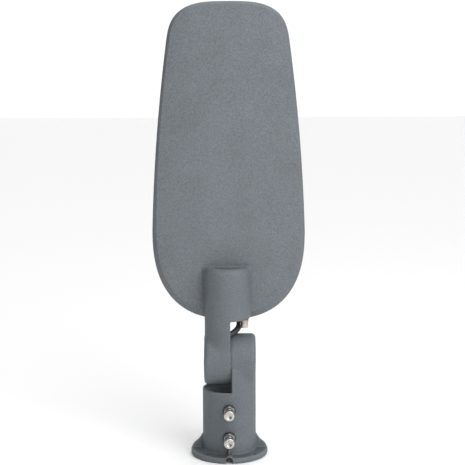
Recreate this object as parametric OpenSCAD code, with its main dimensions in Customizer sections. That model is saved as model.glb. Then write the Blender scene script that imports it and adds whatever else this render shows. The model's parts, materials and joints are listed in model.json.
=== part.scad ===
// Cable-fed LED street luminaire on a tilting knuckle bracket.
// Upright: the flange's underside lies at z = 0 and the socket's axis is the Z axis.
// The flat back of the head faces -Y and the light side faces +Y. Lengths are in millimetres.

/* [Part to draw] */

/* [Flange and pole socket] */
// Flange diameter
flange_dia = 97; // [96:0.5:98]
// Flange thickness
flange_thick = 7; // [6.5:0.5:7.5]
// Outside diameter of the socket tube
tube_dia = 67; // [66.5:0.5:67.5]
// Inside diameter of the socket tube
socket_dia = 61; // [60.5:0.5:61.5]
// Height at which the left half of the tube is cut off
cut_height = 85.5; // [84:0.5:87]
// Bolt circle of the flange holes
bolt_circle = 84; // [83.5:0.5:84.5]
// Flange hole diameter
flange_hole = 8; // [7:0.5:8.5]
// Height of the side and rear flange ribs above the flange
rib_height = 18; // [15:1:19]

/* [Clamp screws] */
// Height of the lower clamp screw
lower_screw_z = 29; // [28:0.1:29.5]
// Height of the upper clamp screw
upper_screw_z = 63.8; // [62.5:0.1:64.5]
// Distance of a clamp screw's tip from the socket axis
screw_tip = 30.9; // [30.8:0.1:31.5]

/* [Knuckle] */
// Height of the tilt axis
tilt_height = 122; // [121:0.5:123]
// Radius of both toothed discs
disc_radius = 32; // [31.5:0.5:32]
// Teeth on each disc
tooth_count = 28; // [24:2:28]
// Outer face of the left disc, left of the socket axis
left_outer = 31.2; // [31:0.1:31.5]
// Outer face of the right disc, right of the socket axis
right_outer = 33.3; // [33.2:0.1:33.5]

/* [Bracket boss] */
// Radius of the round boss on the head's back
boss_radius = 28.7; // [28.5:0.1:29]
// Height of the boss's underside
boss_bottom = 174; // [173.8:0.2:174.2]
// Height of the boss's top
boss_top = 242; // [240:0.5:244]

/* [Head] */
// Half of the head's greatest width
head_half = 95.8; // [95:0.2:96.6]
// Height of the head's lowest point
head_bottom = 170.1; // [169.8:0.1:170.4]
// Height at which the head is widest
head_wide_z = 282.5; // [281:0.5:284]
// Height of the head's top
head_top = 566.8; // [565:0.2:569]
// Plane of the head's flat back
back_plane = 5; // [5:0.1:5.2]

/* [Supply lead] */
// Outside diameter of the lead
lead_dia = 7.2; // [6.8:0.1:7.4]

/* [Hidden] */

$fn = 64;
fit = 0.05;

cast_grey = [0.40, 0.44, 0.47];
steel = [0.78, 0.78, 0.77];
dark_steel = [0.35, 0.35, 0.36];
black_rubber = [0.03, 0.03, 0.035];

tube_r = tube_dia / 2;
socket_r = socket_dia / 2;
flange_r = flange_dia / 2;
right_face = 3.3;
left_face = 1.9;
arm_face = 1.7;
boss_x = -1.8;
boss_back = back_plane - 0.8;
tooth_height = 0.55;
tooth_reach = 30.5;
right_edge = 5.5;
left_edge = 4.5;
boss_edge = 4;
arm_bore = 24.5;

// Seats of the knuckle bolt's head and nut, and the recesses round them.
head_seat = 21;
nut_seat = -18.2;
head_recess = 9.2;
nut_recess = 11;
washer_thick = 1.9;
spring_thick = 2.4;

// Pads round the clamp screws, and the tunnel for the lead under the flange's front rib.
pad_r = 8.2;
pad_y = 34.4;
clamp_washer_r = 8.1;
clamp_washer = 1.6;
tunnel_z = 4.4;
tunnel_r = 4.5;
tunnel_wall = 1.3;
rib_half = 1.5;
rib_end = 47;
rib_foot = 0.6;
front_rib_height = 12;

// Where the lead and the bonding screw leave the boss, and the duct into the head.
lead_x = 12.2;
lead_y = -1.2;
bond_x = 19;
bond_y = -9.8;
bond_washer = 1.8;
bond_spring = 2.2;
lead_bore = 5;
duct_z = 201;
duct_r = 4.6;

// Floor of the hollow in the arm, which the lead crosses.
arm_floor_z = 149;

// Bracket screws, from the boss's axis, as [x, z].
bracket_screw_points = [[-19, 190], [-19, 230], [19, 212], [19, 231]];

// Radii of the bracket screws and of the small and the larger housing screws.
bracket_screw_r = 3;
small_screw_r = 1.5;
cover_screw_r = 2;

bolt_r = 5;
clamp_r = 4;
screw_z = [lower_screw_z, upper_screw_z];

// Depths through the head, measured along +Y.
wall_in = back_plane + 3.5;
rim_y = back_plane + 20.5;
bulge_y = back_plane + 45;
led_floor_z = 302;
edge_steps = 48;

// Walls round the cavities, measured inwards from the head's outline.
led_inset = 14;
pane_inset = 10;
driver_inset = 8.5;

// Shape of the head's outline.
shoulder_rise = 50.8;
shoulder_power = 3.2;
lower_power = 2.44;
taper_line = 0.0907;
taper_curve = 0.1891;

// Driver, terminal block, vent and inner earth screw on the housing's floor.
driver_z = 242;
driver_size = [92, 26, 44];
terminal_ways = [-52, -41, -30];
vent_at = [40, 230];
vent_r = 6;
earth_at = [-70, 222];

// Lens grid on the LED board.
lens_x = [-45, -15, 15, 45];
lens_z = [for (k = [0:8]) 336 + 24 * k];

// Frame and cover screws sit at chosen steps along the head's outline.
frame_steps = [22, 27, 33, 40];
cover_steps = [6, 13];

// Outline of the head: a superellipse below, a gentle taper with round shoulders above.
function part_up(z) = (z - head_wide_z) / (head_top - head_wide_z);
function shoulder(z) =
    let (u = max(0, (z - head_top + shoulder_rise) / shoulder_rise))
    pow(max(0, 1 - pow(u, shoulder_power)), 1 / shoulder_power);
function half_below(z) =
    let (u = (head_wide_z - z) / (head_wide_z - head_bottom))
    head_half * pow(max(0, 1 - pow(min(1, u), lower_power)), 1 / lower_power);
function half_above(z) =
    let (t = part_up(z)) head_half * (1 - taper_line * t - taper_curve * t * t) * shoulder(z);
function half_width(z) = z < head_wide_z ? half_below(z) : half_above(z);
function step_z(i) =
    (head_top + head_bottom) / 2 - (head_top - head_bottom) / 2 * cos(180 * i / edge_steps);
function outline_point(i) =
    let (n = 2 * edge_steps, k = (i + n) % n)
    k <= edge_steps ? [half_width(step_z(k)), step_z(k)]
                    : [-half_width(step_z(n - k)), step_z(n - k)];
function edge_point(i, inset) =
    let (t = outline_point(i + 1) - outline_point(i - 1))
    outline_point(i) + inset / norm(t) * [-t[1], t[0]];
function edge_ring(inset) = [for (i = [0:2 * edge_steps - 1]) edge_point(i, inset)];

// Round tube along a smooth curve through route points.
function on_span(a, b, c, d, t) =
    0.5 * (2 * b + (c - a) * t + (2 * a - 5 * b + 4 * c - d) * t * t
           + (3 * b - a - 3 * c + d) * t * t * t);
function smooth_route(p, per) =
    let (n = len(p) - 1)
    [for (i = [0:n - 1], k = [0:per - 1])
        on_span(p[max(0, i - 1)], p[i], p[i + 1], p[min(n, i + 2)], k / per), p[n]];
function unit(v) = v / norm(v);
function ring_heading(c, i) = unit(c[min(len(c) - 1, i + 1)] - c[max(0, i - 1)]);

module swept_tube(route, radius, per, sides) {
    c = smooth_route(route, per);
    n = len(c);
    skin = [for (i = [0:n - 1])
        let (t = ring_heading(c, i), u = unit(cross(t, [1, 0, 0])), v = cross(t, u))
        for (k = [0:sides - 1])
            c[i] + radius * (cos(360 * k / sides) * u + sin(360 * k / sides) * v)];
    sides_faces = [for (i = [0:n - 2], k = [0:sides - 1], half = [0, 1])
        let (a = i * sides + k, b = i * sides + (k + 1) % sides)
        half == 0 ? [a, b, b + sides] : [a, b + sides, a + sides]];
    caps = [[for (k = [sides - 1:-1:0]) k], [for (k = [0:sides - 1]) (n - 1) * sides + k]];
    polyhedron(points = skin, faces = concat(sides_faces, caps), convexity = 6);
}

// Solid skin through stacked copies of the head outline; each level is [y, inset].
module edge_loft(levels) {
    m = 2 * edge_steps;
    n = len(levels);
    skin = [for (l = levels, p = edge_ring(l[1])) [p[0], l[0], p[1]]];
    around = [for (i = [0:n - 2], k = [0:m - 1], half = [0, 1])
        let (a = i * m + k, b = i * m + (k + 1) % m)
        half == 0 ? [a, b, b + m] : [a, b + m, a + m]];
    caps = [[for (k = [m - 1:-1:0]) k], [for (k = [0:m - 1]) (n - 1) * m + k]];
    polyhedron(points = skin, faces = concat(around, caps), convexity = 4);
}

// Flat plate in the head outline, from depth y0 to y1.
module edge_plate(inset, y0, y1) {
    translate([0, y1, 0]) rotate([90, 0, 0])
        linear_extrude(height = y1 - y0) polygon(edge_ring(inset));
}

module above(z0) {
    intersection() {
        children();
        translate([-120, -20, z0]) cube([240, 100, 420]);
    }
}

module below(z0) {
    intersection() {
        children();
        translate([-120, -20, z0 - 420]) cube([240, 100, 420]);
    }
}

// Cylinders along Y and X, each starting at the given point.
module rod_y(p, r, length) {
    translate(p) rotate([-90, 0, 0]) cylinder(r = r, h = length);
}

module rod_x(p, r, length) {
    translate(p) rotate([0, 90, 0]) cylinder(r = r, h = length);
}

// Disc with a rounded far edge, standing on z = 0.
module rounded_disc(radius, height, edge) {
    rotate_extrude($fn = 96) {
        square([radius - edge, height]);
        square([radius, height - edge]);
        translate([radius - edge, height - edge])
            intersection() {
                circle(r = edge);
                square(edge);
            }
    }
}

// Radial teeth on a disc face, pointing along +Z.
module face_teeth() {
    for (k = [0:tooth_count - 1])
        rotate([0, 0, 360 * k / tooth_count])
            translate([tooth_reach, 0, 0]) rotate([0, -90, 0])
                linear_extrude(height = 11)
                    polygon([[-0.5, -1.7], [0, -1.7], [tooth_height, 0], [0, 1.7], [-0.5, 1.7]]);
}

module ring(outer, inner, height) {
    difference() {
        cylinder(r = outer, h = height);
        translate([0, 0, -1]) cylinder(r = inner, h = height + 2);
    }
}

module split_ring(outer, inner, height) {
    difference() {
        ring(outer, inner, height);
        translate([0, -0.6, -1]) cube([outer + 1, 1.2, height + 2]);
    }
}

// Socket head cap screw: tip at the origin, thread along +Z, head at the far end.
module cap_screw(shank_r, shank_len, head_r, head_len, key_flats) {
    difference() {
        union() {
            cylinder(r = shank_r, h = shank_len + 0.1);
            translate([0, 0, shank_len]) rounded_disc(head_r, head_len, 0.8);
        }
        translate([0, 0, shank_len + head_len * 0.45])
            cylinder(r = key_flats / sqrt(3), h = head_len, $fn = 6);
    }
}

// Pan head screw: tip at the origin, head at the far end.
module pan_screw(shank_r, shank_len, head_r, head_len) {
    difference() {
        union() {
            cylinder(r = shank_r, h = shank_len + 0.1, $fn = 24);
            translate([0, 0, shank_len]) cylinder(r = head_r, h = head_len, $fn = 24);
        }
        translate([0, 0, shank_len + head_len * 0.5])
            cylinder(r = head_r * 0.45, h = head_len, $fn = 6);
    }
}

module flange_rib(height) {
    rotate([90, 0, 0]) translate([0, 0, -rib_half])
        linear_extrude(height = 2 * rib_half)
            polygon([[socket_r + 1, flange_thick - 1], [rib_end, flange_thick - 1],
                     [rib_end, flange_thick + rib_foot],
                     [0.4 * rib_end + 0.6 * tube_r, flange_thick + 0.55 * height],
                     [tube_r, flange_thick + height], [socket_r + 1, flange_thick + height]]);
}

module lower_bracket() {
    color(cast_grey)
    difference() {
        union() {
            cylinder(r = flange_r, h = flange_thick, $fn = 96);
            cylinder(r = tube_r, h = cut_height, $fn = 96);
            intersection() {
                cylinder(r = tube_r, h = tilt_height - 6, $fn = 96);
                translate([right_face, -40, 0]) cube([40, 80, tilt_height]);
            }
            translate([right_face, 0, tilt_height]) rotate([0, 90, 0])
                rounded_disc(disc_radius, right_outer - right_face, right_edge);
            translate([right_face, 0, tilt_height]) rotate([0, -90, 0]) face_teeth();
            for (a = [0, 90, 180]) rotate([0, 0, a]) flange_rib(rib_height);
            rotate([0, 0, 270]) flange_rib(front_rib_height);
            intersection() {
                rod_y([0, -60, tunnel_z], tunnel_r + tunnel_wall, 28);
                cylinder(r = flange_r + 0.4, h = 20);
            }
            for (z = screw_z) rod_y([0, -pad_y, z], pad_r, 5);
        }
        translate([0, 0, -1]) cylinder(r = socket_r, h = 89, $fn = 96);
        translate([0, 0, -5]) cube([2 * flange_dia, 2 * flange_dia, 10], center = true);
        rod_y([0, -60, tunnel_z], tunnel_r, 31);
        translate([-tunnel_r, -60, -1]) cube([2 * tunnel_r, 31, tunnel_z + 1]);
        for (a = [45, 135, 225, 315]) rotate([0, 0, a])
            translate([bolt_circle / 2, 0, -1]) cylinder(r = flange_hole / 2, h = 10);
        for (z = screw_z) rod_y([0, -40, z], clamp_r + fit, 15);
        rod_x([0, 0, tilt_height], bolt_r + fit, 40);
        rod_x([head_seat, 0, tilt_height], head_recess, 20);
    }
}

module clamp_washers() {
    color(dark_steel)
    for (z = screw_z) translate([0, -pad_y, z]) rotate([90, 0, 0])
        ring(clamp_washer_r, clamp_r + fit, clamp_washer);
}

module clamp_jam_nuts() {
    color(dark_steel)
    for (z = screw_z) translate([0, -pad_y - clamp_washer, z]) rotate([90, 0, 0])
        difference() {
            cylinder(r = 13 / sqrt(3), h = 5, $fn = 6);
            translate([0, 0, -1]) cylinder(r = clamp_r + fit, h = 7);
        }
}

module clamp_screw(z) {
    color(steel)
    translate([0, -screw_tip, z]) rotate([90, 0, 0]) cap_screw(clamp_r, 20, 6.5, 8, 6);
}

module clamp_screw_upper() {
    clamp_screw(upper_screw_z);
}

module clamp_screw_lower() {
    clamp_screw(lower_screw_z);
}

module knuckle_bolt() {
    color(steel)
    translate([-31, 0, tilt_height]) rotate([0, 90, 0]) cap_screw(bolt_r, 53.8, 8, 10, 8);
}

module knuckle_washers() {
    color(steel) {
        translate([head_seat, 0, tilt_height]) rotate([0, 90, 0])
            ring(8.8, bolt_r + fit, 1.8);
        translate([nut_seat - 2, 0, tilt_height]) rotate([0, 90, 0])
            ring(10, bolt_r + fit, washer_thick);
    }
}

module knuckle_spring_washer() {
    color(steel)
    translate([nut_seat - 2 - spring_thick, 0, tilt_height]) rotate([0, 90, 0])
        split_ring(9, bolt_r + fit, spring_thick);
}

module knuckle_nut() {
    color(steel)
    translate([-30.6, 0, tilt_height]) rotate([0, 90, 0])
        difference() {
            cylinder(r = 17 / sqrt(3), h = 8, $fn = 6);
            translate([0, 0, -1]) cylinder(r = bolt_r + fit, h = 10);
        }
}

// Solid of the bracket's round column left of the arm face.
module arm_column(z0, z1) {
    intersection() {
        translate([boss_x, 0, z0]) cylinder(r = boss_radius, h = z1 - z0, $fn = 96);
        translate([-60, -60, z0]) cube([60 + arm_face, 60 + boss_back, z1 - z0]);
    }
}

module upper_bracket() {
    color(cast_grey)
    difference() {
        union() {
            translate([left_face, 0, tilt_height]) rotate([0, -90, 0])
                rounded_disc(disc_radius, left_outer + left_face, left_edge);
            translate([left_face, 0, tilt_height]) rotate([0, 90, 0])
                rotate([0, 0, 180 / tooth_count]) face_teeth();
            arm_column(tilt_height, arm_floor_z);
            difference() {
                arm_column(arm_floor_z - 1, boss_bottom + 1);
                translate([boss_x, 0, arm_floor_z])
                    cylinder(r = arm_bore, h = boss_bottom - arm_floor_z);
            }
            intersection() {
                translate([boss_x, 0, boss_bottom])
                    rounded_disc(boss_radius, boss_top - boss_bottom, boss_edge);
                translate([-60, -60, boss_bottom]) cube([120, 60 + boss_back, 90]);
            }
        }
        rod_x([-40, 0, tilt_height], bolt_r + fit, 50);
        rod_x([-40, 0, tilt_height], nut_recess, 40 + nut_seat);
        translate([lead_x, lead_y, boss_bottom - 1]) cylinder(r = lead_bore, h = 32);
        rod_y([lead_x, lead_y, duct_z], duct_r, 8);
        translate([bond_x, bond_y, boss_bottom - 1]) cylinder(r = 3 + fit, h = 14);
        intersection() {
            translate([boss_x, -4, boss_top - 2.5]) cylinder(r = 16.5, h = 5);
            translate([-60, -60, boss_top - 5]) cube([120, 61, 9]);
        }
        for (p = bracket_screw_points)
            rod_y([boss_x + p[0], -12, p[1]], bracket_screw_r + fit, 20);
    }
}

module bonding_screw() {
    color(steel)
    translate([bond_x, bond_y, boss_bottom + 12]) rotate([180, 0, 0])
        cap_screw(3, 12 + bond_washer + bond_spring, 5, 6, 5);
}

module bonding_washer() {
    color(steel)
    translate([bond_x, bond_y, boss_bottom - bond_washer]) ring(5.6, 3 + fit, bond_washer);
}

module bonding_spring_washer() {
    color(steel)
    translate([bond_x, bond_y, boss_bottom - bond_washer - bond_spring])
        split_ring(5.2, 3 + fit, bond_spring);
}

module lead_seal() {
    color(black_rubber)
    translate([lead_x, lead_y, boss_bottom + 3.6]) cylinder(r = lead_bore - fit, h = 6);
}

// The lead leaves the boss, wraps behind the knuckle and lies on the floor behind the flange.
lead_route = [
    [12.2, -1.2, 177.5], [12.2, -1.2, 175], [12.6, -1.3, 172], [13, -1.9, 168.9],
    [12.8, -3.1, 165.8], [11.6, -5.1, 162.8], [9.2, -7.9, 160.1], [5.9, -10.9, 157.9],
    [2.1, -13.6, 156], [-2.3, -15.6, 154.8], [-6.8, -16.2, 154.4], [-11.1, -15, 155],
    [-14.6, -12.2, 155.9], [-16.8, -8.1, 157], [-17.7, -2.8, 157.9], [-17.8, 4, 158.1], [-17.5, 12, 156.9],
    [-17, 21, 153.2], [-16.5, 29, 147.2], [-16, 35.6, 138], [-15.4, 39.8, 126],
    [-14, 41, 110], [-11, 41, 91], [-7, 41.6, 71], [-3, 44.5, 52], [0, 51, 34],
    [1.2, 62, 18.6], [1.2, 77, 8], [0, 96, 4], [-1.5, 123, 3.9], [0, 135, 3.9]
];
lead_end = lead_route[len(lead_route) - 1];

module supply_lead() {
    color(black_rubber) swept_tube(lead_route, lead_dia / 2, 2, 12);
}

// Tips of the three bare cores, where their ferrules start.
core_radius = 1.35;
line_tip = [-10, 171, 1.7];
neutral_tip = [9, 173, 1.7];
earth_tip = [0, 177, 1.7];

module core(side, lift, tip) {
    swept_tube([lead_end + [side, 0, lift], lead_end + [side, 4, lift],
                lead_end + [2.2 * side, 14, 0.6 * lift - 0.6],
                tip - [0, 8, 0], tip], core_radius, 4, 8);
}

module lead_core_line() {
    color([0.30, 0.15, 0.07]) core(-1.6, -0.9, line_tip);
}

module lead_core_neutral() {
    color([0.05, 0.20, 0.55]) core(1.6, -0.9, neutral_tip);
}

module lead_core_earth() {
    color([0.45, 0.62, 0.10]) core(0, 1.9, earth_tip);
}

module lead_ferrules() {
    color(steel)
    for (tip = [line_tip, neutral_tip, earth_tip]) rod_y(tip, 0.8, 8);
}

module boss_gasket() {
    color(black_rubber)
    difference() {
        translate([boss_x - 27, boss_back, boss_bottom + 3])
            cube([54, back_plane - boss_back, boss_top - boss_bottom - 8]);
        for (p = bracket_screw_points) rod_y([boss_x + p[0], 0, p[1]], 3.4, 20);
        rod_y([lead_x, 0, duct_z], duct_r, 20);
    }
}

module bracket_screws() {
    color(steel)
    for (p = bracket_screw_points)
        translate([boss_x + p[0], -9, p[1]]) rotate([-90, 0, 0])
            cap_screw(bracket_screw_r, wall_in + 9, 5, 6, 5);
}

// Places its children at the screw points of the pane frame, facing +Y.
module at_frame_screws(y) {
    for (i = frame_steps, s = [-1, 1])
        translate([s * edge_point(i, 6.5)[0], y, edge_point(i, 6.5)[1]])
            rotate([-90, 0, 0]) children();
    translate([0, y, edge_point(edge_steps, 6.5)[1]]) rotate([-90, 0, 0]) children();
    for (x = [-50, 0, 50]) translate([x, y, led_floor_z + 6]) rotate([-90, 0, 0]) children();
}

// Places its children at the screw points of the driver cover, facing +Y.
module at_cover_screws(y) {
    for (i = cover_steps, s = [-1, 1])
        translate([s * edge_point(i, 12)[0], y, edge_point(i, 12)[1]])
            rotate([-90, 0, 0]) children();
    for (x = [-70, 70]) translate([x, y, led_floor_z - 8.5]) rotate([-90, 0, 0]) children();
}

module head_housing() {
    color(cast_grey)
    difference() {
        union() {
            difference() {
                union() {
                    edge_loft([[back_plane, 4.4], [back_plane + 0.6, 3.6],
                               [back_plane + 6.8, 0.5], [back_plane + 9, 0],
                               [rim_y, 1.2]]);
                    below(led_floor_z)
                        edge_loft([[rim_y - 8, 2.5], [bulge_y - 3, 3.5], [bulge_y, 4.5]]);
                }
                above(led_floor_z + 9) edge_plate(led_inset, wall_in, rim_y + 1);
                above(led_floor_z + 11) edge_plate(pane_inset, rim_y - 5, rim_y + 1);
                below(led_floor_z - 4) edge_plate(driver_inset, wall_in, bulge_y + 1);
            }
            below(led_floor_z - 1) at_cover_screws(wall_in - 1)
                cylinder(r = 5, h = bulge_y - wall_in + 1, $fn = 24);
            for (p = driver_screw_points) rod_y([p[0], wall_in - 1, p[1]], 4, 3.5);
        }
        for (p = bracket_screw_points)
            rod_y([boss_x + p[0], 0, p[1]], bracket_screw_r + fit, 20);
        rod_y([lead_x, 0, duct_z], duct_r, 20);
        translate([60, 15, led_floor_z - 10]) cylinder(r = 3, h = 30, $fn = 24);
        at_frame_screws(rim_y - 9) cylinder(r = small_screw_r + fit, h = 12, $fn = 24);
        at_cover_screws(bulge_y - 14) cylinder(r = cover_screw_r + fit, h = 16, $fn = 24);
        for (p = driver_screw_points)
            rod_y([p[0], wall_in - 1, p[1]], small_screw_r + fit, 5);
        rod_y([earth_at[0], wall_in - 2, earth_at[1]], cover_screw_r + fit, 5);
        for (p = board_screw_points)
            rod_y([p[0], wall_in - 2, p[1]], small_screw_r + fit, 5);
    }
}

// Screws of the LED board and of the driver, as [x, z].
board_screw_points = [[-30, 324], [30, 324], [-60, 400], [60, 400], [-30, 540], [30, 540]];
driver_screw_points = [for (x = [-62, 42], z = [246, 282]) [x, z]];

module led_board() {
    color([0.92, 0.92, 0.90])
    difference() {
        above(led_floor_z + 14) edge_plate(18, wall_in, wall_in + 1.6);
        for (p = board_screw_points) rod_y([p[0], 0, p[1]], 1.6, 30);
    }
}

module led_chips() {
    color([0.95, 0.85, 0.35])
    for (x = lens_x, z = lens_z)
        translate([x - 1.75, wall_in + 1.6, z - 1.75]) cube([3.5, 0.7, 3.5]);
}

module led_board_screws() {
    color(steel)
    for (p = board_screw_points)
        translate([p[0], wall_in - 1.5, p[1]]) rotate([-90, 0, 0])
            pan_screw(small_screw_r, 3.1, 2.75, 1.0);
}

module lens_array() {
    color([0.85, 0.90, 0.92, 0.5])
    difference() {
        intersection() {
            union() {
                above(led_floor_z + 16) edge_plate(20, wall_in + 3, wall_in + 4.6);
                for (x = lens_x, z = lens_z)
                    translate([x, wall_in + 1.5, z]) sphere(r = 8, $fn = 32);
            }
            translate([-120, wall_in + 3, 300]) cube([240, 20, 280]);
        }
        for (x = lens_x, z = lens_z)
            rod_y([x, wall_in + 2.5, z], 3.5, 1.5);
    }
}

module pane_gasket() {
    color(black_rubber)
    difference() {
        above(led_floor_z + 11.3) edge_plate(pane_inset + 0.3, rim_y - 5, rim_y - 3.8);
        above(led_floor_z + 15) edge_plate(led_inset, rim_y - 6, rim_y);
    }
}

module clear_pane() {
    color([0.80, 0.88, 0.90, 0.35])
    above(led_floor_z + 11.3) edge_plate(pane_inset + 0.3, rim_y - 3.8, rim_y);
}

module pane_frame() {
    color(cast_grey)
    difference() {
        above(led_floor_z + 0.5) edge_plate(2.5, rim_y, rim_y + 3);
        above(led_floor_z + 18) edge_plate(17, rim_y - 1, rim_y + 4);
        at_frame_screws(rim_y - 1) cylinder(r = small_screw_r + fit, h = 8, $fn = 24);
    }
}

module pane_frame_screws() {
    color(steel) at_frame_screws(rim_y - 7) pan_screw(small_screw_r, 10, 2.75, 2);
}

module driver() {
    color([0.85, 0.86, 0.87])
    difference() {
        union() {
            translate([-56, wall_in + 2.5, driver_z]) cube(driver_size);
            translate([-68, wall_in + 2.5, driver_z])
                cube([driver_size[0] + 24, 1.5, driver_size[2]]);
        }
        for (p = driver_screw_points) rod_y([p[0], 0, p[1]], 1.6, 40);
    }
}

module driver_screws() {
    color(steel)
    for (p = driver_screw_points)
        translate([p[0], wall_in, p[1]]) rotate([-90, 0, 0])
            pan_screw(small_screw_r, 4, 2.75, 1.8);
}

module surge_protector() {
    color([0.15, 0.16, 0.18]) translate([26, wall_in, 205]) cube([24, 18, 30]);
}

module terminal_block() {
    color([0.93, 0.92, 0.88])
    difference() {
        translate([-58, wall_in, 204]) cube([34, 16, 20]);
        for (x = terminal_ways) {
            rod_y([x, wall_in + 8, 214], 2.2, 10);
            translate([x, wall_in + 6, 200]) cylinder(r = 1.7, h = 12, $fn = 24);
        }
    }
}

module inner_mains_wires() {
    color(black_rubber)
    swept_tube([[lead_x, lead_y, 183.8], [lead_x, lead_y, 193], [lead_x, 1, 199],
                [lead_x, 7, duct_z], [lead_x - 3, wall_in + 6, duct_z - 0.5], [-2, wall_in + 14, 198],
                [-20, wall_in + 15, 194], [-36, wall_in + 10, 192.5], [-41, wall_in + 6, 198],
               [-41, wall_in + 6, 203.4]],
               2.6, 4, 10);
}

module inner_led_wires() {
    color([0.55, 0.08, 0.06])
    swept_tube([[36.5, wall_in + 16, 262], [46, wall_in + 16, 266], [58, 16, 280],
                [60, 15, 296], [60, 15, 308], [60, 14, 315.5]], 1.6, 4, 10);
}

module inner_earth_screw() {
    color([0.75, 0.62, 0.28])
    translate([earth_at[0], wall_in - 1.5, earth_at[1]]) rotate([-90, 0, 0])
        pan_screw(cover_screw_r, 2.5, 4, 2.6);
}

module cover_gasket() {
    color(black_rubber)
    difference() {
        below(led_floor_z - 0.5) edge_plate(5, bulge_y, bulge_y + 1);
        below(led_floor_z - 4) edge_plate(driver_inset, bulge_y - 1, bulge_y + 2);
    }
}

module driver_cover() {
    color(cast_grey)
    difference() {
        below(led_floor_z) edge_loft([[bulge_y + 1, 4.7], [bulge_y + 3, 5.2], [bulge_y + 4, 6.5]]);
        at_cover_screws(bulge_y) cylinder(r = cover_screw_r + fit, h = 8, $fn = 24);
        rod_y([vent_at[0], bulge_y, vent_at[1]], vent_r + fit, 8);
    }
}

module cover_screws() {
    color(steel) at_cover_screws(bulge_y - 8) pan_screw(cover_screw_r, 12, 3.8, 2.4);
}

module breather_vent() {
    color([0.10, 0.10, 0.11]) {
        rod_y([vent_at[0], bulge_y - 3, vent_at[1]], vent_r, 7.1);
        rod_y([vent_at[0], bulge_y + 4, vent_at[1]], vent_r + 2.5, 3.5);
    }
}

lower_bracket();
clamp_washers();
clamp_jam_nuts();
clamp_screw_upper();
clamp_screw_lower();
knuckle_bolt();
knuckle_washers();
knuckle_spring_washer();
knuckle_nut();
upper_bracket();
bonding_screw();
bonding_washer();
bonding_spring_washer();
lead_seal();
supply_lead();
lead_core_line();
lead_core_neutral();
lead_core_earth();
lead_ferrules();
boss_gasket();
bracket_screws();
head_housing();
led_board();
led_chips();
led_board_screws();
lens_array();
pane_gasket();
clear_pane();
pane_frame();
pane_frame_screws();
driver();
driver_screws();
surge_protector();
terminal_block();
inner_mains_wires();
inner_led_wires();
inner_earth_screw();
cover_gasket();
driver_cover();
cover_screws();
breather_vent();
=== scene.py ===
import json
from math import cos, dist, hypot, pi, radians, sin, tan

import bmesh
import bpy
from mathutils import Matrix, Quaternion, Vector


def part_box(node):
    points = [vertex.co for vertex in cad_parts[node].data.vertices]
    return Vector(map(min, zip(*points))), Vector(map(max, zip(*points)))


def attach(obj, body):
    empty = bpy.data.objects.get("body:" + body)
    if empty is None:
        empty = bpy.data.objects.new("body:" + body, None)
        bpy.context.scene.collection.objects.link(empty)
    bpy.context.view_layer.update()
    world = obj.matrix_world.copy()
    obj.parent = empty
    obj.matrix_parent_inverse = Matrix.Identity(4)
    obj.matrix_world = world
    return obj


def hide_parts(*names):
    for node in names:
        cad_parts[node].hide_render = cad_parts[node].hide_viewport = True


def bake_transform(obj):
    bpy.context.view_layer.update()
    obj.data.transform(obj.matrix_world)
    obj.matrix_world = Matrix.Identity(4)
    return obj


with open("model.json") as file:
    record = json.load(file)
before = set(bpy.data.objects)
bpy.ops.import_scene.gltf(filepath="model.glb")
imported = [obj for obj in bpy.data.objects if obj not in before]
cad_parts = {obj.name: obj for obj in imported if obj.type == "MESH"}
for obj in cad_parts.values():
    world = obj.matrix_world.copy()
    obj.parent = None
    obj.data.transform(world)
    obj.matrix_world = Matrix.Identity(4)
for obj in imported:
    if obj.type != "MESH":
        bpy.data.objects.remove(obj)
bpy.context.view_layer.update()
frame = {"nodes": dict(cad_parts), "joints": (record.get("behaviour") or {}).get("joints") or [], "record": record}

# A cable-fed LED street luminaire on a tilting knuckle bracket, in metres.
# The flange stands on z = 0, the head's flat back faces -Y and its light side faces +Y.

MM = 0.001
joints = {j["name"]: j for j in frame["joints"]}
record = frame["record"]
mounts = {m["name"]: m for m in record["mounts"]}
body_of = {node: body for body, nodes in record["behaviour"]["bodies"].items() for node in nodes}

X_AXIS = Vector((1, 0, 0))
Y_AXIS = Vector((0, 1, 0))
Z_AXIS = Vector((0, 0, 1))
JOIN = "UNION"
CUT = "DIFFERENCE"


# ---------------------------------------------------------------- mesh helpers

def add_piece(name, verts, faces):
    """A new mesh object in the scene from vertices and faces in metres."""
    mesh = bpy.data.meshes.new(name)
    mesh.from_pydata(verts, [], faces)
    mesh.update()
    piece = bpy.data.objects.new(name, mesh)
    bpy.context.scene.collection.objects.link(piece)
    return piece


def skin(rings, closed=False):
    """Vertices and faces through rings of equal length. Closed joins the last ring to the first."""
    n = len(rings[0])
    verts = [p for ring in rings for p in ring]
    spans = len(rings) if closed else len(rings) - 1
    faces = []
    for i in range(spans):
        a = i * n
        b = (i + 1) % len(rings) * n
        faces += [(a + k, a + (k + 1) % n, b + (k + 1) % n, b + k) for k in range(n)]
    if not closed:
        faces.append(tuple(range(n - 1, -1, -1)))
        faces.append(tuple((len(rings) - 1) * n + k for k in range(n)))
    return verts, faces


def turned(levels, sides=48, closed=False):
    """A turned shape about +Z from (height, radius) levels. A radius may be a function of the angle."""
    angles = [2 * pi * k / sides for k in range(sides)]
    rings = []
    for height, radius in levels:
        radii = [radius(a) if callable(radius) else radius for a in angles]
        rings.append([Vector((r * cos(a), r * sin(a), height)) for r, a in zip(radii, angles)])
    return skin(rings, closed)


def arc(centre, radius, start, end, steps=6):
    """(height, radius) levels along an arc, with angles in degrees from the outward direction."""
    angles = [radians(start + (end - start) * k / steps) for k in range(steps + 1)]
    return [(centre[0] + radius * sin(a), centre[1] + radius * cos(a)) for a in angles]


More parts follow.
